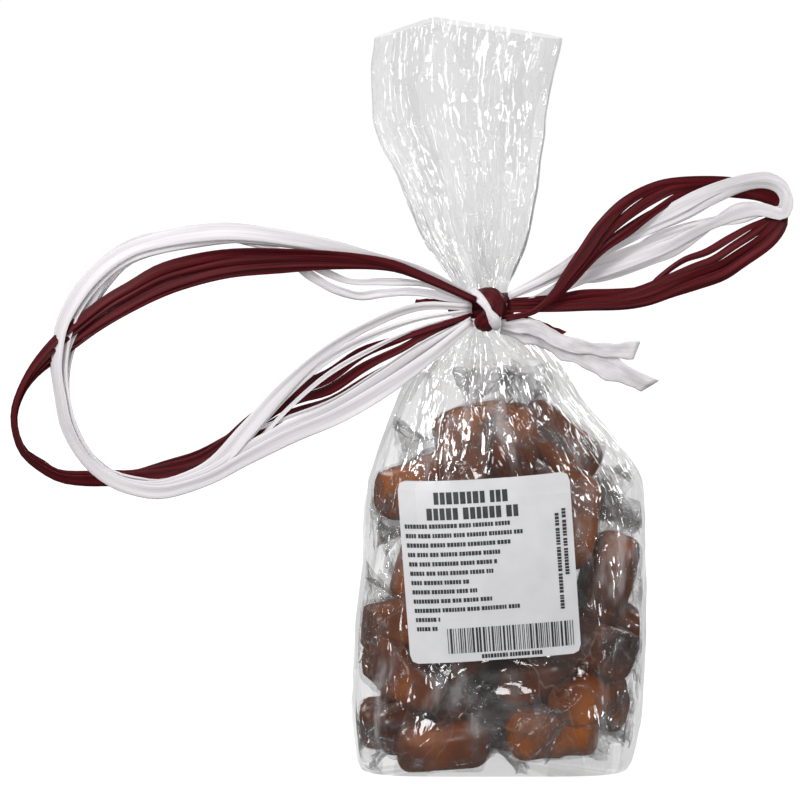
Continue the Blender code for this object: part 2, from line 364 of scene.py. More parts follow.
bagFilm = {
    "around": 264,
    "along": 336,
    "baseShare": 0.05,  # rows that make the flat base
    "neckFolds": 23,
    "frillFolds": 7,
    "frillFrom": 150.0,  # mm; the frill opens out above this height
    "gatherBelow": (0.6, 0.75),  # heights in mm of the big and the fine folds, under the knot
    "gatherAbove": (1.1, 0.8),
    "sideFolds": 0.35,  # share of the folds left at the sides, which are pulled straight
}


def frillRise(x, z):
    share = smoothStep((z - bagFilm["frillFrom"]) / (bagTop - bagFilm["frillFrom"]))
    left, right, _, _ = bagRowFast(bagTop)
    crest = bagShape["crestX"]
    run = (x - left) / (crest - left) if x < crest else (right - x) / (right - crest)
    return bagShape["crestRise"] * share * min(max(run, 0.0), 1.0)


def filmPoint(u, v):
    angle = 2.0 * math.pi * u + math.pi / 2.0  # the seam is behind
    share = bagFilm["baseShare"]
    if v < share:
        edge = onSection(angle, 0.0)
        return Vector((edge.x, edge.y, 0.15)) * (v / share) * mm
    z = bagTop * (v - share) / (1.0 - share)
    point = onSection(angle, z)
    left, right, half, _ = bagRowFast(z)
    middle = (left + right) / 2.0
    out = Vector(((point.x - middle) / ((right - left) / 2.0) ** 2, point.y / half**2, 0.0)).normalized()
    low, high = bagShape["tie"]
    # gathers run from the neck down to the shoulder and up into the frill
    below = smoothStep((z - 84.0) / 36.0) * smoothStep((low + 1.0 - z) / 4.0)
    above = smoothStep((z - high) / 5.0) * (1.0 - 0.5 * smoothStep((z - bagFilm["frillFrom"]) / 45.0))
    wobble = noise.noise(Vector((math.cos(angle) * 1.6, math.sin(angle) * 1.6, z * 0.012))) * 2.2
    big = abs(math.sin(0.5 * (bagFilm["frillFolds"] * angle + wobble * 1.5 + 0.6))) * 2.0 - 1.0
    fine = abs(math.sin(0.5 * (bagFilm["neckFolds"] * angle + wobble * 4.0))) * 2.0 - 1.0
    bigBelow, fineBelow = bagFilm["gatherBelow"]
    bigAbove, fineAbove = bagFilm["gatherAbove"]
    gather = below * (bigBelow * big + fineBelow * fine) + above * (bigAbove * big + fineAbove * fine)
    loose = 1.0 - smoothStep((z - low + 3.0) / 3.0) * smoothStep((high + 2.0 - z) / 3.0)
    straight = mix(bagFilm["sideFolds"], 1.0, abs(math.sin(angle)))
    move = (gather + crinkleAt(point) * loose) * straight
    flat = smoothStep(z / 5.0)
    cover = underLabel(point)
    move = move * flat * (1.0 - cover) - 0.25 * cover
    point = point + out * move
    point.z += frillRise(point.x, z)
    if z < 0.5:
        point.z = 0.15
    return point * mm


def makeBagFilm():
    bm = newGridMesh()
    addGrid(bm, bagFilm["around"], bagFilm["along"], filmPoint, closed=True)
    bmesh.ops.recalc_face_normals(bm, faces=bm.faces)
    body = filmMaterial("bagFilm", filmLook["bodyVeil"], (28, 9), filmLook["body"], neckVeil=1.5)
    frill = filmMaterial("frillFilm", filmLook["frillVeil"], (15, 10), filmLook["frill"], (0.7, 1.35),
                         neckVeil=1.6)
    for face in bm.faces:
        face.material_index = 1 if face.calc_center_median().z > filmLook["frillFrom"] else 0
    return finishPiece("bagFilm", bm, [body, frill], ("bag",))


sweetSpec = {
    "size": (26.5, 14.6, 13.4),  # length, height, depth in mm
    "corner": 4.6,
    "fanLength": 10.0,
    "fanRadius": 7.0,
    "belly": 0.05,  # how much thicker the middle is than the ends
    "lumps": 0.55,  # mm
    "gap": 1.7,  # least distance in mm from the film, for a sweet and for its wrapper
    "wrapGap": 0.9,
}
# x, y, z of the middle in mm, turn in the front view and swing towards the viewer in degrees
sweetsLaid = (
    (-8.5, -13.0, 89.5, 86, 4), (4.6, -9.5, 89.0, 78, -12), (17.0, -7.5, 92.0, -36, 14),
    (-22.0, -6.5, 79.5, 22, 10), (20.4, -14.0, 71.5, 80, 6), (31.0, -7.0, 53.0, 66, 12),
    (26.5, -13.5, 36.0, -24, -8), (33.5, 3.0, 31.0, 62, 0), (25.5, -12.0, 21.5, 30, 62),
    (-26.0, -14.5, 28.2, -28, 8), (-15.5, -6.0, 21.0, -38, -14), (-25.5, -7.0, 40.8, 10, 12),
    (-14.8, -14.6, 7.6, 3, -3), (15.6, -14.8, 11.4, 4, 4), (-20.0, -1.5, 9.0, 7, 6),
    (9.5, -0.5, 8.4, -5, -8), (12.5, -7.5, 25.5, 10, 16), (-7.5, -7.0, 33.5, 24, 20),
    (-12.5, -10.0, 49.5, 12, -8), (7.5, -9.5, 45.5, -14, 10), (-9.5, -9.0, 65.0, -12, 6),
    (8.0, -8.5, 61.0, 18, -10), (-20.5, 3.0, 57.0, 76, 10),
    (-22.0, 12.0, 22.0, 64, 0), (2.0, 13.0, 21.5, 12, 6), (25.0, 11.0, 14.0, -18, 8),
    (-12.0, 12.5, 38.5, -18, -6), (14.0, 12.5, 38.0, 20, 6), (30.5, 9.0, 48.0, 80, 0),
    (-3.0, 12.5, 54.0, -8, 10), (17.0, 11.5, 60.0, 34, -6), (-11.5, 10.5, 71.0, 22, 8),
    (9.0, 9.5, 75.5, -24, -8), (-4.0, 5.0, 93.0, 14, 10), (-26.0, 10.5, 7.6, 8, 4),
)


def sweetPlace(spec):
    x, y, z, turn, swing = spec
    turned = Matrix.Rotation(math.radians(-turn), 4, "Y") @ Matrix.Rotation(math.radians(swing), 4, "Z")
    return Matrix.Translation(Vector((x, y, z))) @ turned


caramelLook = {
    "light": (0.45, 0.125, 0.009),
    "middle": (0.19, 0.043, 0.004),
    "dark": (0.045, 0.009, 0.002),
    "subsurface": 0.12,
}


def caramelMaterial():
    n = Nodes("caramel")
    cloud = n.noise(n.mapped((1, 1, 1)), 34.0, 2.0, 0.6)
    n.put(n.shader.inputs["Base Color"], n.colours(cloud.outputs["Fac"], (
        (0.34, caramelLook["dark"]), (0.50, caramelLook["middle"]), (0.68, caramelLook["light"]))))
    rough = n.ramp(n.noise(n.mapped((1, 1, 1)), 160.0, 2.0).outputs["Fac"], 0.20, 0.42, 0.3, 0.7)
    n.put(n.shader.inputs["Roughness"], rough)
    n.shader.inputs["Subsurface Weight"].default_value = caramelLook["subsurface"]
    n.shader.inputs["Subsurface Radius"].default_value = (1.0, 0.4, 0.15)
    n.shader.inputs["Subsurface Scale"].default_value = 0.002
    soft = n.noise(n.mapped((1, 1, 1)), 150.0, 2.0)
    n.put(n.shader.inputs["Normal"], n.bump(soft.outputs["Fac"], 0.5, 0.0012))
    return n.mat


def addSweet(bm, spec, seed):
    length, height, depth = sweetSpec["size"]
    draw = random.Random(seed)
    one = bmesh.new()
    bmesh.ops.create_cube(one, size=1.0)
    bmesh.ops.scale(one, vec=(length * draw.uniform(0.95, 1.04), height, depth), verts=one.verts)
    bmesh.ops.bevel(one, geom=one.edges[:], offset=sweetSpec["corner"], offset_type="OFFSET", segments=5,
                    profile=0.5, affect="EDGES", material=-1)
    longEdges = [edge for edge in one.edges if edge.calc_length() > 3.0]
    bmesh.ops.subdivide_edges(one, edges=longEdges, cuts=3, use_grid_fill=True)
    place = sweetPlace(spec)
    shift = Vector((seed * 7.3, seed * 3.1, 0))
    for vert in one.verts:
        p = vert.co.copy()
        swell = 1.0 + sweetSpec["belly"] * (1.0 - (p.x / (length / 2.0)) ** 2)
        p.y *= swell
        p.z *= swell
        p += Vector((0, 0, 0.6)) * math.sin(p.x * 0.16 + seed)
        p += sweetSpec["lumps"] * noise.noise_vector(p * 0.14 + shift)
        vert.co = keepInside(place @ p, sweetSpec["gap"]) * mm
    mesh = bpy.data.meshes.new("oneSweet")
    one.to_mesh(mesh)
    one.free()
    bm.from_mesh(mesh)
    bpy.data.meshes.remove(mesh)


def addWrapper(bm, spec, seed):
    length, height, depth = sweetSpec["size"]
    draw = random.Random(seed * 5 + 1)
    place = sweetPlace(spec)
    fan = sweetSpec["fanLength"]
    half = length / 2.0
    bends = [Vector((0, draw.uniform(-1, 1), draw.uniform(-1, 1))).normalized() for _ in range(2)]
    lean = [draw.uniform(2.0, 6.0) for _ in range(2)]
    phase = draw.uniform(0, 6)
    shift = Vector((seed * 2.7, seed * 5.9, 3))
    flat = [draw.uniform(0.35, 0.7) for _ in range(2)]

    def wrapPoint(u, v):
        x = (v * 2.0 - 1.0) * (half + fan)
        end = 0 if x < 0 else 1
        out = abs(x) - half
        angle = 2.0 * math.pi * u
        c, s = math.cos(angle), math.sin(angle)
        # a squared tube over the block, a tight twist, then a crumpled fan
        y = math.copysign(abs(c) ** 0.6, c) * (depth / 2.0 + 0.5)
        z = math.copysign(abs(s) ** 0.6, s) * (height / 2.0 + 0.5)
        gather = smoothStep((out + 3.2) / 4.2)
        y, z = mix(y, c * 1.7, gather), mix(z, s * 1.7, gather)
        spread = smoothStep((out - 1.2) / fan)
        fold = 1.0 + 0.35 * gather * math.sin(7 * angle + phase + 0.25 * out)
        radius = sweetSpec["fanRadius"] * spread
        y = (y + c * radius * flat[end]) * fold
        z = (z + s * radius) * fold
        point = Vector((x, y, z))
        if out > 0:
            point += bends[end] * lean[end] * (out / fan) ** 1.5
        point += noise.noise_vector(point * 0.33 + shift) * (0.35 + 1.5 * spread)
        return keepInside(place @ point, sweetSpec["wrapGap"]) * mm

    addGrid(bm, 30, 46, wrapPoint, closed=True)


def makeSweets():
    bm = bmesh.new()
    for i, spec in enumerate(sweetsLaid):
        addSweet(bm, spec, i + 1)
    bmesh.ops.recalc_face_normals(bm, faces=bm.faces)
    finishPiece("sweets", bm, [caramelMaterial()])
    bm = newGridMesh()
    for i, spec in enumerate(sweetsLaid):
        addWrapper(bm, spec, i + 1)
    bmesh.ops.recalc_face_normals(bm, faces=bm.faces)
    wrapFilm = filmMaterial("wrapperFilm", filmLook["wrapVeil"], (7, 9), filmLook["wrap"], endVeil=1.9)
    finishPiece("sweetWrappers", bm, [wrapFilm])


raffiaLook = {
    "white": ((0.60, 0.565, 0.59), (0.80, 0.775, 0.79)),
    "red": ((0.022, 0.0015, 0.0025), (0.115, 0.008, 0.012)),
    "roughness": (0.55, 0.48),
    "gloss": 0.13,
    "thickness": 0.12,  # mm
}


def raffiaMaterial(name, tones, roughness):
    n = Nodes(name)
    grain = n.noise(n.mapped((11.0, 1.2, 1.0), source="UV"), 1.0, 3.0, 0.55)
    shade = n.noise(n.mapped((2.2, 9.0, 1.0), source="UV"), 1.0, 2.0)
    both = n.maths("ADD", n.maths("MULTIPLY", grain.outputs["Fac"], 0.45),
                   n.maths("MULTIPLY", shade.outputs["Fac"], 0.55))
    n.put(n.shader.inputs["Base Color"], n.colours(both, ((0.36, tones[0]), (0.60, tones[1]))))
    n.shader.inputs["Roughness"].default_value = roughness
    n.shader.inputs["Specular IOR Level"].default_value = raffiaLook["gloss"]
    n.put(n.shader.inputs["Normal"], n.bump(grain.outputs["Fac"], 0.25, 0.0003))
    return n.mat


def smoothRoute(points, steps):
    ends = [2 * points[0] - points[1], *points, 2 * points[-1] - points[-2]]
    fine = []
    for a, b, c, d in zip(ends, ends[1:], ends[2:], ends[3:]):
        for k in range(14):
            t = k / 14.0
            fine.append(0.5 * (2 * b + (c - a) * t + (2 * a - 5 * b + 4 * c - d) * t**2
                               + (3 * b - a - 3 * c + d) * t**3))
    fine.append(points[-1])
    lengths = [0.0]
    for a, b in zip(fine, fine[1:]):
        lengths.append(lengths[-1] + (b - a).length)
    out, k = [], 0
    for i in range(steps + 1):
        want = lengths[-1] * i / steps
        while k < len(fine) - 2 and lengths[k + 1] < want:
            k += 1
        share = (want - lengths[k]) / (lengths[k + 1] - lengths[k])
        out.append(fine[k].lerp(fine[k + 1], min(share, 1.0)))
    return out


def addStrand(bm, points, width, seed, steps=110, grip=(0.5, 0.5), fold=0.3, tilt=0.5, waist=0.0, cut=0.0):
    # one flat strand with lengthwise creases; grip is how narrow it is where the knot holds it,
    # and waist turns it edge on at the far end of its loop
    draw = random.Random(seed)
    route = smoothRoute(points, steps)
    shift = draw.uniform(0, 50)
    start = draw.uniform(-0.4, 0.4)

    def strandPoint(u, v):
        k = min(int(round(v * steps)), steps)
        ahead = (route[min(k + 1, steps)] - route[max(k - 1, 0)]).normalized()
        across = ahead.cross(Vector((0, 1, 0))).normalized()
        away = ahead.cross(across).normalized()
        turn = start * 0.5 + tilt * noise.noise(Vector((v * 5.0 + shift, 0, 0))) * 1.6
        turn += waist * math.exp(-(((v - 0.46) / 0.13) ** 2))
        side = across * math.cos(turn) + away * math.sin(turn)
        face = away * math.cos(turn) - across * math.sin(turn)
        near = mix(grip[0], 1.0, smoothStep(v / 0.16)) * mix(grip[1], 1.0, smoothStep((1.0 - v) / 0.16))
        wide = width * near * (1.0 + 0.55 * noise.noise(Vector((v * 9.0, shift, 0))))
        s = u - 0.5
        crease = abs(((u * 1.3 + 0.5 * noise.noise(Vector((v * 7.0, 0, shift)))) % 1.0) - 0.5) * 2.0
        high = fold * (crease - 0.5) * (0.7 + 1.2 * noise.noise(Vector((v * 6.0, 9, shift))))
        curl = -0.5 * fold * (s * 2.0) ** 2
        end = ahead * (cut * s * smoothStep((v - 0.9) / 0.1))
        return (route[k] + side * (s * wide) + face * (high + curl) + end) * mm

    addGrid(bm, 12, steps, strandPoint)


# each bundle lies between an outer and an inner edge, x and z in mm, from the knot out and back;
# "depth" is its y along the way, and a strand is its width and its share of the way across at nine places
bundles = {
    "loopLeftWhite": {
        "outer": ((-6, 133.5), (-21.2, 141.5), (-36.2, 145.6), (-52.1, 149.6), (-71.1, 153.1), (-83.8, 152.8),
                  (-96.5, 149.9), (-103.9, 146.4), (-111.3, 140.5), (-116.6, 133.5), (-120.3, 126.5),
                  (-121.9, 120.1), (-122.4, 113.6), (-121, 106.1), (-119.8, 97.5), (-115.5, 88.9),
                  (-109.2, 82.5), (-101.8, 78.7), (-92, 77.5), (-79.6, 80.5), (-69, 85.2), (-56.3, 92.7),
                  (-43.6, 98.8), (-30.9, 105.6), (-20, 113), (-7, 125.5)),
        "inner": ((-6, 131.5), (-21.2, 139), (-36.2, 143), (-52.1, 146.6), (-69, 147.2), (-82, 146.4),
                  (-93, 145), (-100.7, 142.4), (-106, 137.8), (-110.8, 131.9), (-114.3, 126),
                  (-116.1, 120), (-117.5, 112.5), (-117.7, 105), (-115.5, 97), (-111.3, 89.5),
                  (-106, 84.8), (-99.5, 83), (-91, 82.5), (-78.5, 88), (-69, 99), (-59, 110),
                  (-48, 120), (-36, 127.5), (-22, 132.5), (-7, 131)),
        "depth": (-11.5, -11.8, -12.2, -12.8, -13.4, -13.4, -13.8, -13.6, -12.6),
        "strands": (
            (4.2, (0.4, 0.3, 0.32, 0.2, 0.3, 0.4, 0.35, 0.08, 0.15)),
            (3.8, (0.5, 0.5, 0.7, 0.55, 0.6, 0.6, 0.5, 0.20, 0.3)),
            (3.6, (0.6, 0.6, 0.45, 0.9, 0.5, 0.5, 0.75, 0.90, 0.9)),
            (2.6, (0.4, 0.8, 0.12, 0.1, 0.2, 0.2, 0.6, 0.80, 0.7)),
            (1.5, (0.6, 0.7, 0.9, 1.1, 0.9, 0.8, 0.2, 0.62, 0.6)),
            (1.2, (0.5, 0.2, 0.5, 0.3, 0.0, 0.9, 0.95, 0.28, 0.4)),
        ),
        "waist": 0.5,
    },
    "loopLeftRed": {
        "outer": ((-6, 134), (-21.2, 140.4), (-30.9, 144.1), (-45.7, 146.8), (-60.5, 147.7), (-73.2, 147.2),
                  (-83.8, 145.1), (-92.3, 142.4), (-99.7, 138.1), (-106, 134.6), (-114, 128.7), (-120.8, 123.3),
                  (-126.7, 116.3), (-130.4, 110.4), (-133.3, 104), (-134.2, 98.6), (-133.5, 93.2),
                  (-131.6, 88.4), (-127.2, 84.1), (-120.8, 81.6), (-114.5, 80.8), (-107.1, 81.2),
                  (-99.7, 81.9), (-91.2, 82.5), (-81.7, 84.6), (-73.2, 88.9), (-64.8, 94.3), (-56.3, 99.7),
                  (-45.7, 103.4), (-36.2, 108.8), (-25.6, 114.7), (-18.2, 120.6), (-7, 127)),
        "inner": ((-6, 131), (-21.2, 138.3), (-30.9, 141), (-45.7, 141.1), (-58.4, 139.9), (-73.2, 138.5),
                  (-85.9, 135.7), (-94.4, 132.7), (-102.9, 128.4), (-109.7, 124.1), (-115, 120.1),
                  (-119.8, 116.3), (-125.1, 112.5), (-128.8, 108.2), (-131.4, 102.9), (-132.3, 98.6),
                  (-131.6, 93.8), (-129.5, 90), (-125.1, 87.3), (-120.8, 84.1), (-113.4, 83.6), (-106, 83.8),
                  (-100.7, 83.8), (-91.2, 86.8), (-82.8, 89.5), (-75.3, 94.3), (-69, 100.2), (-58.4, 107.7),
                  (-46.8, 112), (-37.3, 119.5), (-26.7, 124.4), (-19.3, 127), (-7, 129.5)),
        "depth": (-14.6, -15.4, -15.2, -12.2, -9.8, -9.8, -10.0, -10.6, -11.4),
        "strands": (
            (3.0, (0.3, 0.20, 0.12, 0.2, 0.5, 0.3, 0.2, 0.95, 0.5)),
            (2.6, (0.5, 0.45, 0.30, 0.45, 0.5, 0.7, 0.7, 0.80, 0.6)),
            (2.5, (0.6, 0.62, 0.76, 0.65, 0.6, 0.5, 0.5, 0.46, 0.4)),
            (1.9, (0.7, 0.85, 0.94, 0.96, 0.5, 0.3, 0.25, 0.10, 0.2)),
            (1.1, (0.5, 0.78, 0.50, 0.85, 0.8, 0.9, 0.95, 0.3, 0.5)),
        ),
        "waist": 1.0,
    },
    "loopRightWhite": {
        "outer": ((3.1, 134.8), (9.1, 138.6), (16.4, 142.3), (22.8, 146.5), (32, 150.7), (39.3, 154.4),
                  (48.5, 159), (55.8, 162.8), (65, 166.2), (72.3, 167.2), (76.9, 165.8), (79.3, 162.6),
                  (79.8, 158.6), (78.8, 155), (72.3, 155.6), (66.8, 153.8), (62.2, 152.1), (55.8, 149.7),
                  (48.5, 145.5), (43, 143.2), (35.6, 140.4), (28.3, 138.1), (21, 137.2), (11.8, 133.4),
                  (2.6, 129.7)),
        "inner": ((3.1, 132), (10.9, 134.4), (18.2, 138.6), (25.6, 143.2), (33.8, 146.9), (41.1, 150.7),
                  (50.3, 155.3), (57.6, 159), (65, 162.3), (70.5, 163.8), (74.6, 163.2), (76.4, 161.4),
                  (76.9, 159), (75.1, 158.2), (70, 159.8), (65, 159.2), (59.5, 157.2), (52.1, 153.5),
                  (43.9, 149.7), (37.5, 146.9), (30.1, 143.7), (24.6, 141.8), (18.2, 137.2), (10.9, 132.5),
                  (2.6, 131.6)),
        "depth": (-11.6, -12.0, -12.6, -13.6, -14.6, -12.6, -11.0, -10.6, -11.0),
        "strands": (
            (3.4, (0.4, 0.4, 0.25, 0.2, 0.4, 0.5, 0.4, 0.5, 0.5)),
            (2.9, (0.6, 0.7, 0.75, 0.75, 0.6, 0.2, 0.9, 0.95, 0.4)),
            (2.4, (0.3, 0.2, 1.0, 0.5, 0.2, 0.8, 0.0, 0.10, 0.6)),
            (1.5, (0.5, 0.9, 0.5, 0.0, 0.9, 0.4, 1.1, 0.4, 0.5)),
        ),
        "waist": 0.3,
    },
    "loopRightRed": {
        "outer": ((2.2, 128.8), (8.1, 130.4), (14.5, 135.3), (18.2, 140.9), (22.8, 147.2), (27.4, 153.5),
                  (33.8, 160), (41.1, 164.1), (48.5, 165.6), (59.5, 165.3), (69.6, 164), (75.6, 161.8),
                  (77.8, 159), (78.4, 155.8), (77.8, 152.4), (74.1, 147.8), (66.8, 142.3), (62.2, 139.1),
                  (55.8, 136.7), (48.5, 133.9), (43, 131.6), (35.6, 130.2), (25.6, 129.5), (15.5, 128.8),
                  (2.6, 128.3)),
        "inner": ((2.2, 126.6), (11.8, 128.9), (17.3, 133.8), (21.4, 137.6), (25.6, 142.2), (30.1, 147),
                  (35.6, 151.2), (43, 156.2), (50.3, 159.8), (57.6, 160.9), (65, 160.4), (70.5, 159.5),
                  (74, 158.1), (74, 156.7), (72.3, 155.3), (68.6, 152.8), (63.1, 149.7), (56.7, 146),
                  (50.3, 143.7), (43, 140), (35.6, 136.3), (31.1, 135), (22.8, 135), (15.5, 134.2),
                  (2.6, 133.6)),
        "depth": (-14.4, -15.4, -15.2, -11.6, -11.0, -13.6, -14.4, -14.0, -12.6),
        "strands": (
            (3.0, (0.5, 0.25, 0.08, 0.1, 0.2, 0.10, 0.12, 0.2, 0.3)),
            (2.6, (0.5, 0.5, 0.48, 0.3, 0.4, 0.42, 0.40, 0.5, 0.4)),
            (2.3, (0.5, 0.75, 0.94, 0.7, 0.6, 0.72, 0.66, 0.75, 0.6)),
            (1.8, (0.5, 0.4, 0.20, 0.0, 0.3, 1.0, 0.98, 0.3, 0.7)),
            (1.2, (0.5, 0.6, 0.8, 1.0, 0.8, 0.26, 0.25, 1.0, 0.8)),
        ),
        "waist": 0.5,
    },
}
# two thin strands that leave the left loop's upper side for the knot
spareRoutes = (
    ((-7, 131.6), (-21.2, 134.4), (-30.9, 134.2), (-38, 133.4), (-44.5, 135.2), (-50.5, 138.6), (-57, 143.2),
     (-66, 148), (-78, 150)),
    ((-7, 132.4), (-20, 136.6), (-31, 137.4), (-40, 137.4), (-48, 140.4), (-58, 145), (-72, 149.4)),
)


def valueAt(values, v):
    at = v * (len(values) - 1)
    i = min(int(at), len(values) - 2)
    return mix(values[i], values[i + 1], smoothStep(at - i))


def bundlePoints(bundle, shares, back):
    last = len(bundle["outer"]) - 1
    points = []
    for i, (outer, inner) in enumerate(zip(bundle["outer"], bundle["inner"])):
        share = valueAt(shares, i / last)
        points.append(Vector((mix(outer[0], inner[0], share), valueAt(bundle["depth"], i / last) + back,
                              mix(outer[1], inner[1], share))))
    return points


# name, the node it replaces, colour, route as x and z, width, y and the slant of its cut end, in mm
tails = (
    ("tailUpper", ("tail_white_upper",), "white",
     ((1, 126), (10, 125), (18, 121), (28, 119), (38.2, 118.8)), 4.3, -14.4, 1.8),
    ("tailLower", ("tail_white_lower",), "white",
     ((1, 125), (11, 123), (20, 118), (31, 113.6), (42, 108.6)), 5.8, -13.0, 3.0),
    ("tailRed", ("tail_red",), "red", ((1, 125), (13, 120), (23, 115), (29.6, 111.4)), 1.3, -11.2, 0.4),
    ("tailShortRed", (), "red", ((1, 127.4), (9, 126.6), (18, 123)), 2.0, -12.6, 1.4),
    ("endRed", ("end_red",), "red", ((-5, 131), (-14, 131.2), (-22.6, 131.4)), 2.0, -9.6, 0.5),
)


def makeRaffia():
    white = raffiaMaterial("raffiaWhite", raffiaLook["white"], raffiaLook["roughness"][0])
    red = raffiaMaterial("raffiaRed", raffiaLook["red"], raffiaLook["roughness"][1])
    groups = (
        ("loopLeftWhite", white, "raffia_white", "loop_left_white"),
        ("loopLeftRed", red, "raffia_red", "loop_left_red"),
        ("loopRightWhite", white, "raffia_white", "loop_right_white"),
        ("loopRightRed", red, "raffia_red", "loop_right_red"),
    )
    for number, (name, mat, slotName, node) in enumerate(groups):
        bm = newGridMesh()
        bundle = bundles[name]
        for k, (width, shares) in enumerate(bundle["strands"]):
            addStrand(bm, bundlePoints(bundle, shares, 0.4 * k - 0.8), width, 31 * number + k, tilt=0.5,
                      waist=bundle["waist"])
        if name == "loopLeftWhite":
            for k, route in enumerate(spareRoutes):
                addStrand(bm, [Vector((x, -11.2 - 0.4 * k, z)) for x, z in route], 2.3 - 0.5 * k, 71 + k,
                          steps=60, grip=(0.7, 0.6), tilt=0.4)
        thicken(finishPiece(name, bm, [mat], (node,)))
    for k, (name, nodes, colour, route, width, depth, cut) in enumerate(tails):
        bm = newGridMesh()
        addStrand(bm, [Vector((x, depth, z)) for x, z in route], width, 211 + k, steps=30, grip=(0.62, 1.0),
                  tilt=0.25, cut=cut)
        mat = white if colour == "white" else red
        thicken(finishPiece(name, bm, [mat], nodes))
    makeKnot(white, red)


def thicken(piece):
    solid = piece.modifiers.new("thickness", "SOLIDIFY")
    solid.thickness = raffiaLook["thickness"] * mm
    solid.offset = 0.0


knotSpec = {
    "middle": (-2.2, -9.0, 129.3),
    "ringHeight": 129.5,  # mm, of the two turns round the neck
    "turns": ((-1.3, 1.4), (0.9, 1.7)),  # each turn's place above that and its distance from the neck
    # middle lines in mm, half widths and half thicknesses along them
    "red": (((-5.2, -8.6, 133.6), (-3.0, -12.8, 134.2), (-0.6, -14.8, 132.6), (-0.6, -15.6, 130.4),
             (-2.4, -15.8, 128.4), (-3.8, -14.6, 126.4), (-3.6, -11.6, 124.8), (-2.4, -8.6, 124.6)),
            (1.6, 2.6, 2.9, 2.4, 2.4, 2.7, 2.4, 1.6), 1.15),
    "white": (((-7.2, -10.4, 134.4), (-5.0, -14.4, 133.2), (-3.2, -16.8, 131.4), (-2.2, -17.6, 129.6),
               (-1.0, -17.4, 127.6), (-0.4, -15.8, 125.4), (-0.4, -12.2, 124.6)),
              (1.5, 1.5, 1.2, 0.9, 1.7, 1.0, 0.5), 0.6),
}


def addWrap(bm, points, widths, thick, seed, steps=60):
    # a rounded, creased band of raffia, closed all round
    route = smoothRoute([Vector(p) for p in points], steps)

    def wrapPoint(u, v):
        k = min(int(round(v * steps)), steps)
        ahead = (route[min(k + 1, steps)] - route[max(k - 1, 0)]).normalized()
        outward = (route[k] - Vector(knotSpec["middle"])).normalized()
        side = ahead.cross(outward).normalized()
        up = side.cross(ahead).normalized()
        at = v * (len(widths) - 1)
        i = min(int(at), len(widths) - 2)
        wide = mix(widths[i], widths[i + 1], at - i)
        angle = 2.0 * math.pi * u
        c, s = math.cos(angle), math.sin(angle)
        crease = 1.0 + 0.10 * math.sin(9 * angle + 2.5 * noise.noise(Vector((v * 3, seed, 0))))
        return (route[k] + side * c * wide + up * s * thick * crease) * mm

    addGrid(bm, 40, steps, wrapPoint, closed=True)


def makeKnot(white, red):
    bm = newGridMesh()
    addWrap(bm, *knotSpec["red"], 1)
    ringHeight = knotSpec["ringHeight"]
    left, right, half, _ = bagRowFast(ringHeight)
    for rise, grow in knotSpec["turns"]:
        def ringPoint(u, v):
            # two turns of raffia round the neck, behind the knot
            angle, across = 2.0 * math.pi * v, 2.0 * math.pi * u
            out = Vector((math.cos(angle), math.sin(angle), 0))
            reach = grow + 0.55 * math.cos(across)
            return Vector(((left + right) / 2.0 + ((right - left) / 2.0 + reach) * out.x,
                           (half + reach) * out.y,
                           ringHeight + rise + 1.5 * math.sin(across)
                           + 0.4 * math.sin(3 * angle + rise))) * mm
        addGrid(bm, 12, 80, ringPoint, closed=True)
    bmesh.ops.recalc_face_normals(bm, faces=bm.faces)
    finishPiece("knotRed", bm, [red], ("knot",))
    bm = newGridMesh()
    addWrap(bm, *knotSpec["white"], 5)
    bmesh.ops.recalc_face_normals(bm, faces=bm.faces)
    finishPiece("knotWhite", bm, [white])


labelLook = {
    "paper": ((0.60, 0.60, 0.615), (0.66, 0.66, 0.675)),
    "paperRoughness": 0.42,
    "ink": ((0.012, 0.012, 0.014), (0.035, 0.035, 0.038)),
    "inkRoughness": 0.5,
}
printSpec = {
    "lift": 0.05,  # mm in front of the paper
    "titleRows": ((-14.5, 6.5, 18.6, 3.2), (-16.8, 8.4, 14.4, 3.2)),  # from, to, foot, height
    "smallFrom": -23.2,
    "smallTop": 12.2,
    "smallStep": 2.55,
    "smallEnds": (6.3, 9.7, 6.3, 3.0, 1.6, 1.0, -6.0, -4.0, 0.4, 7.8, -15.0, -16.0),
    "sideRows": ((20.6, -12.0, 14.0), (22.6, -2.6, 15.0)),  # place, from, to
    "bars": (-13.4, 22.8, -22.4, -15.4),  # left, right, foot, top
    "barWidths": (0.22, 0.22, 0.4, 0.62),
    "barGaps": (0.24, 0.3, 0.5),
    "lastRow": (-4.0, 13.0, 1.75),  # from, to, and how far under the bars
}


def paperMaterial():
    n = Nodes("labelPaper")
    tone = n.noise(n.mapped((1, 1, 1)), 120.0, 2.0)
    n.put(n.shader.inputs["Base Color"], n.colours(tone.outputs["Fac"], (
        (0.3, labelLook["paper"][0]), (0.7, labelLook["paper"][1]))))
    n.shader.inputs["Roughness"].default_value = labelLook["paperRoughness"]
    grain = n.noise(n.mapped((1, 1, 1)), 900.0, 2.0)
    n.put(n.shader.inputs["Normal"], n.bump(grain.outputs["Fac"], 0.1, 0.0001))
    return n.mat


def inkMaterial():
    n = Nodes("labelInk")
    tone = n.noise(n.mapped((1, 1, 1)), 500.0, 2.0)
    n.put(n.shader.inputs["Base Color"], n.colours(tone.outputs["Fac"], (
        (0.3, labelLook["ink"][0]), (0.7, labelLook["ink"][1]))))
    n.shader.inputs["Roughness"].default_value = labelLook["inkRoughness"]
    return n.mat


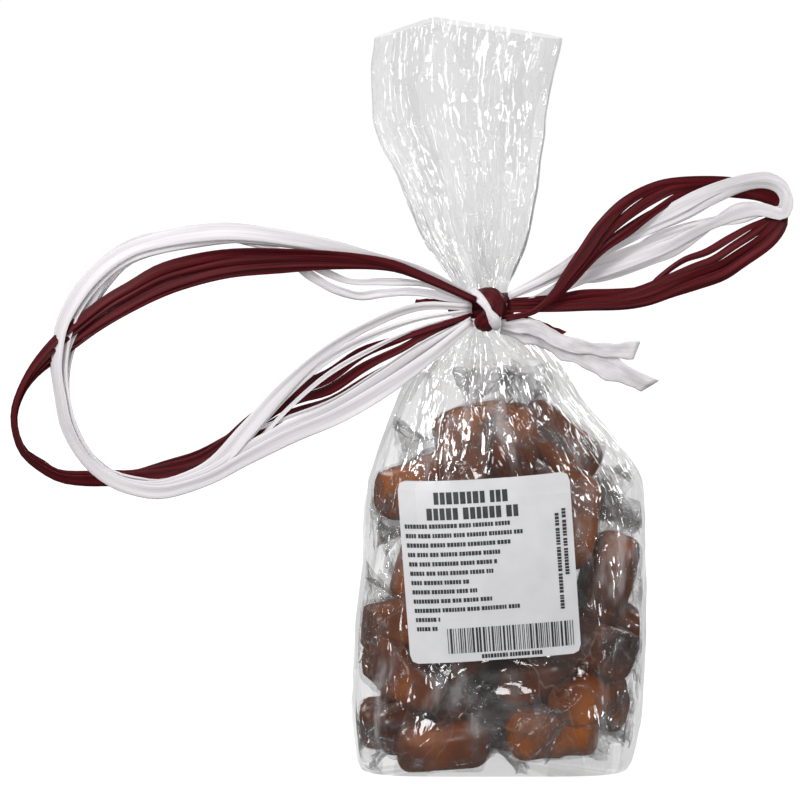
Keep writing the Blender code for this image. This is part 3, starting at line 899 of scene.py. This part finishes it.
def addMark(bm, s0, s1, t0, t1):
    # one printed patch that follows the label's curve
    def markPoint(u, v):
        return labelPoint(mix(s0, s1, u), mix(t0, t1, v), printSpec["lift"])
    addGrid(bm, max(1, round((s1 - s0) / 4)), max(1, round((t1 - t0) / 4)), markPoint)


def makePrint():
    bm = newGridMesh()
    draw = random.Random(12)
    # heading: two rows of bold blocks, then rows of small blocks, grouped like words
    for start, stop, foot, high in printSpec["titleRows"]:
        addWords(bm, draw, start, stop, foot, True, (high, high), (1.25, 1.6), 0.42, (5, 8))
    for row, stop in enumerate(printSpec["smallEnds"]):
        foot = printSpec["smallTop"] - printSpec["smallStep"] * row
        addWords(bm, draw, printSpec["smallFrom"] + 0.12 * row, stop, foot, True)
    for place, start, stop in printSpec["sideRows"]:
        addWords(bm, draw, start, stop, place, False)
    left, right, foot, top = printSpec["bars"]
    s = left
    while s < right:
        wide = draw.choice(printSpec["barWidths"])
        addMark(bm, s, min(s + wide, right), foot, top)
        s += wide + draw.choice(printSpec["barGaps"])
    start, stop, drop = printSpec["lastRow"]
    addWords(bm, draw, start, stop, foot - drop, True)
    return finishPiece("labelPrint", bm, [inkMaterial()], smooth=False)


def addWords(bm, draw, start, stop, foot, level, highs=(1.15, 1.15), wides=(0.5, 0.85), gap=0.17,
             word=(3, 9)):
    # a row of blocks in groups; level rows run across the label, and the others up it
    at = start
    left = draw.randint(*word)
    while at < stop:
        wide = draw.uniform(*wides)
        high = draw.uniform(*highs)
        if level:
            addMark(bm, at, at + wide, foot, foot + high)
        else:
            addMark(bm, foot - high, foot, at, at + wide)
        left -= 1
        at += wide + (gap if left else gap * 3.5)
        if not left:
            left = draw.randint(*word)


def dressLabel():
    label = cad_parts["label"]
    label.data.materials.clear()
    label.data.materials.append(paperMaterial())


stage = {
    "floor": (0.14, 0.14, 0.14),  # lit mostly by its own glow, so that it is as pale on every side
    "floorGlow": 0.97,
    "world": 0.20,
    "elevation": 10.0,
    "distance": 1.0,
    "look": (-26.7, -12.0, 104.6),  # mm
    "frameWidth": 220.0,  # mm seen across at that point
    "sensor": 36.0,  # mm
    "aim": (-0.01, 0.0, 0.09),  # metres, where the lamps point
    # name, place in metres, watts, size in metres
    "lamps": (
        ("keyLeft", (-0.75, -0.75, 0.70), 8.6, 0.30),
        ("fillRight", (0.85, -0.75, 0.40), 3.6, 0.28),
        ("lowFill", (-0.15, -0.95, 0.06), 1.5, 0.24),
        ("topSoft", (-0.1, 0.1, 1.2), 3.6, 0.5),
        ("backLeft", (-0.75, 0.85, 0.65), 6.4, 0.35),
        ("backRight", (0.80, 0.80, 0.60), 6.4, 0.35),
        ("glintLeft", (-0.5, -0.8, 0.35), 0.7, 0.07),
        ("glintRight", (0.45, -0.8, 0.55), 0.6, 0.07),
        ("glintTop", (-0.05, -0.6, 0.9), 0.7, 0.07),
    ),
}


def makeStage():
    bm = bmesh.new()
    bmesh.ops.create_grid(bm, x_segments=4, y_segments=4, size=14.0)
    mesh = bpy.data.meshes.new("floor")
    bm.to_mesh(mesh)
    bm.free()
    floor = bpy.data.objects.new("floor", mesh)
    scene.collection.objects.link(floor)
    n = Nodes("floorPaper")
    n.shader.inputs["Base Color"].default_value = (*stage["floor"], 1.0)
    n.shader.inputs["Roughness"].default_value = 1.0
    n.shader.inputs["Specular IOR Level"].default_value = 0.0
    n.shader.inputs["Emission Color"].default_value = (1, 1, 1, 1)
    n.shader.inputs["Emission Strength"].default_value = stage["floorGlow"]
    mesh.materials.append(n.mat)
    floor.visible_diffuse = False  # white behind the film without lighting the pack from below
    floor.visible_glossy = False
    world = bpy.data.worlds.new("studio")
    scene.world = world
    world.use_nodes = True
    back = world.node_tree.nodes["Background"]
    back.inputs["Color"].default_value = (1, 1, 1, 1)
    back.inputs["Strength"].default_value = stage["world"]


def makeLamps():
    for name, place, power, size in stage["lamps"]:
        lamp = bpy.data.lights.new(name, "AREA")
        lamp.energy = power
        lamp.size = size
        obj = bpy.data.objects.new(name, lamp)
        obj.location = place
        aim = Vector(stage["aim"]) - Vector(place)
        obj.rotation_euler = aim.to_track_quat("-Z", "Y").to_euler()
        scene.collection.objects.link(obj)


def makeCamera():
    cam = bpy.data.cameras.new("camera")
    obj = bpy.data.objects.new("camera", cam)
    scene.collection.objects.link(obj)
    tilt = math.radians(stage["elevation"])
    back = Vector((0, -math.cos(tilt), math.sin(tilt)))
    look = Vector(stage["look"]) * mm
    obj.location = look + back * stage["distance"]
    obj.rotation_euler = (-back).to_track_quat("-Z", "Y").to_euler()
    cam.sensor_width = stage["sensor"]
    cam.lens = stage["sensor"] * stage["distance"] / (stage["frameWidth"] * mm)
    cam.clip_start = 0.01
    cam.clip_end = 20.0
    scene.camera = obj


makeCamera()
makeStage()
makeLamps()
print("stage, lamps and camera ready")
makeSweets()
print("sweets and wrappers made")
makeBagFilm()
print("bag film made")
dressLabel()
makePrint()
print("label printed")
makeRaffia()
print("raffia tied")
